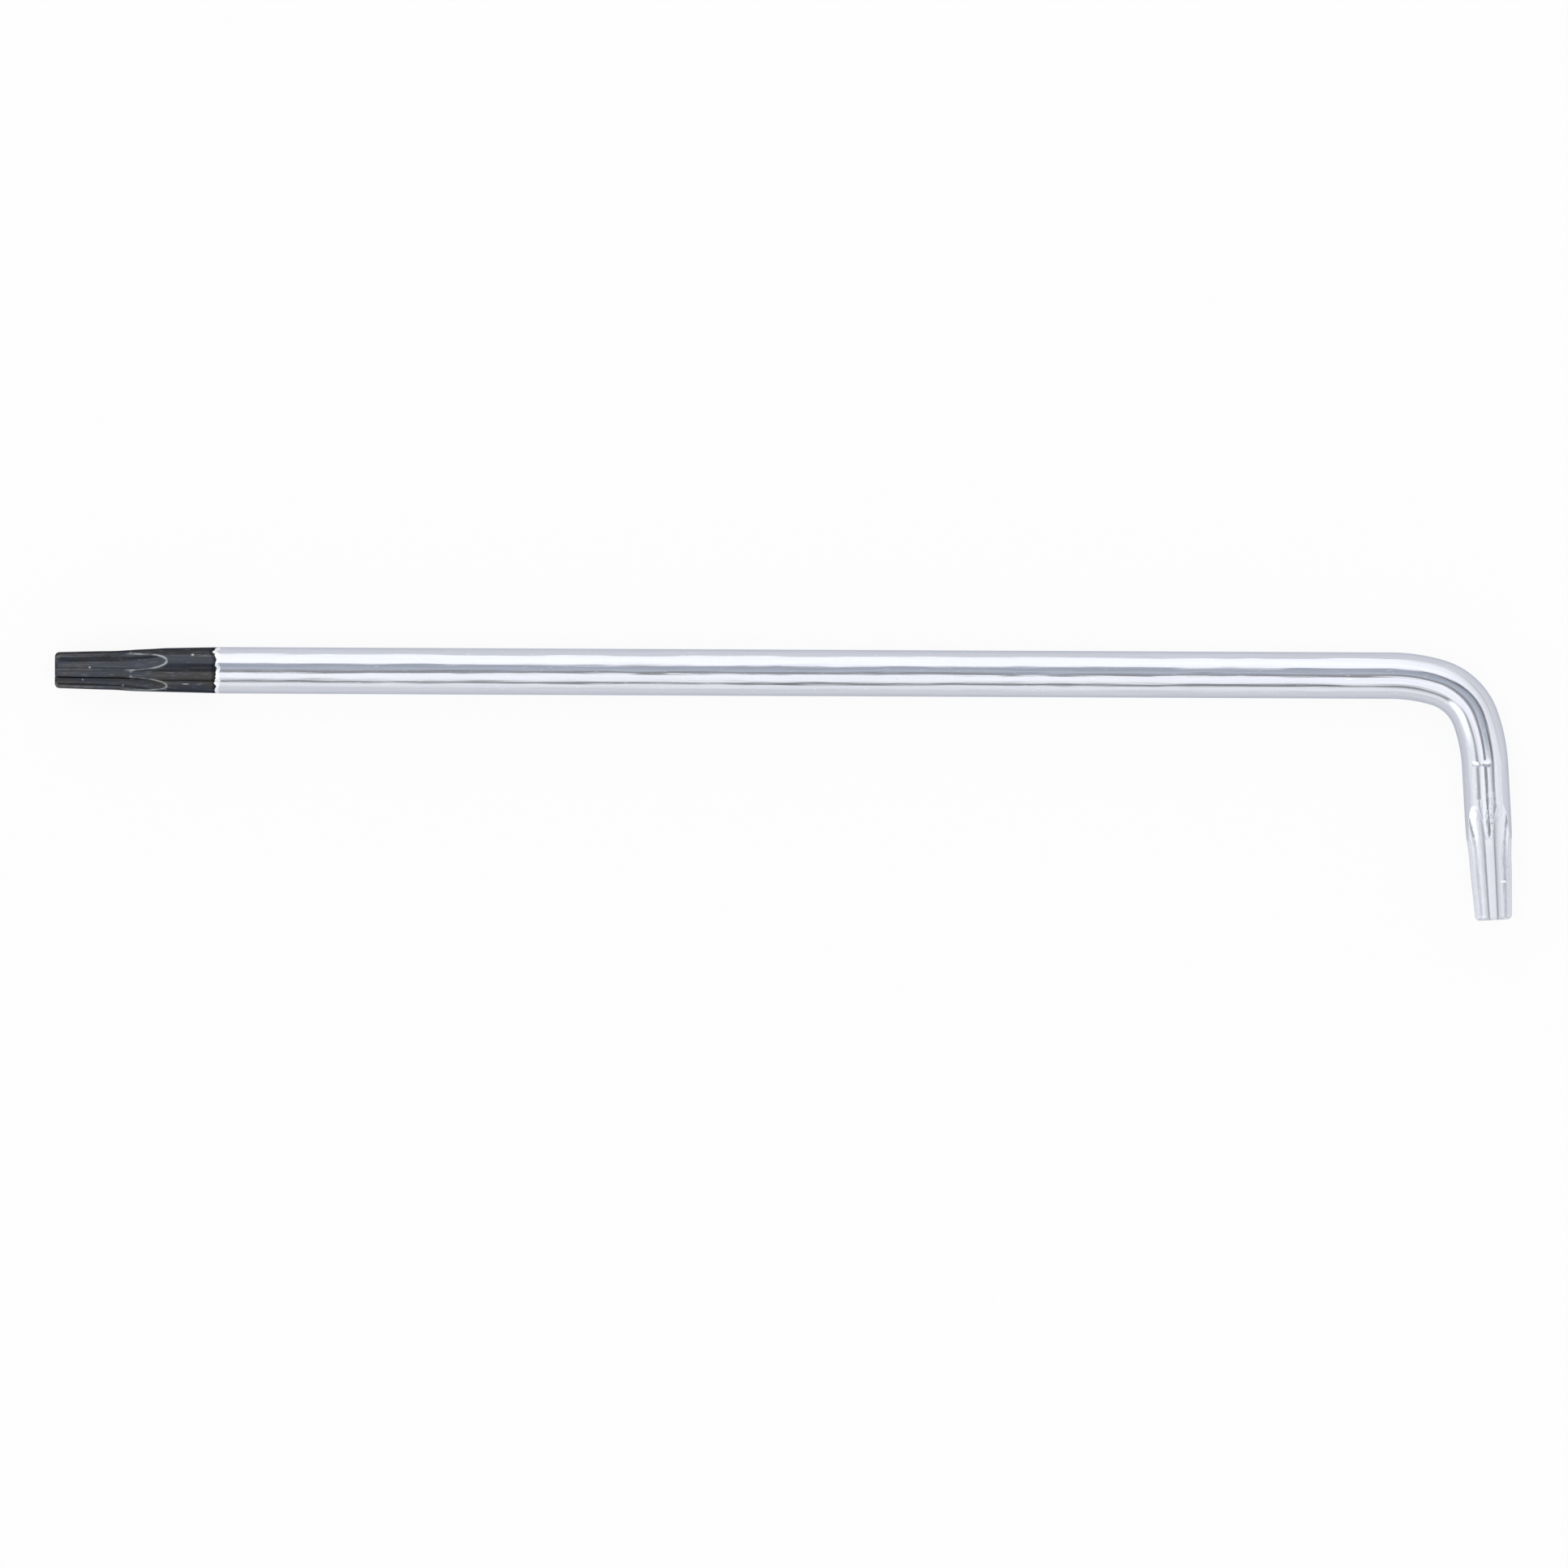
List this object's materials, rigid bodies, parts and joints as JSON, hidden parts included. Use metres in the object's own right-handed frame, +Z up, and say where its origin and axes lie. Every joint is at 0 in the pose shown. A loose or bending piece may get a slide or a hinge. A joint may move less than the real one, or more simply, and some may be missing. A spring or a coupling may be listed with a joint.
{
  "type": "star key",
  "caption": "L-shaped star key of round plated steel bar, with a five-lobe star drive on each end and a black-finished tip on the long arm.",
  "frame": {"origin": "on the ground under the middle of the key's box, with the key lying flat", "axes": "+X along the long arm from its black tip towards the bend, +Z up out of the plane of the bend, the short arm points towards -Y"},
  "size_m": [0.1884, 0.0346, 0.006],
  "materials": {
    "black_finish": "black finish on steel, satin, worn bright along the edges of the flutes",
    "plating": "bright plating with fine lines along the bar"
  },
  "bodies": {
    "root": {"long_star_tip": "black_finish", "long_arm": "plating", "elbow": "plating", "short_arm": "plating", "short_star_tip": "plating"}
  },
  "joints": []
}
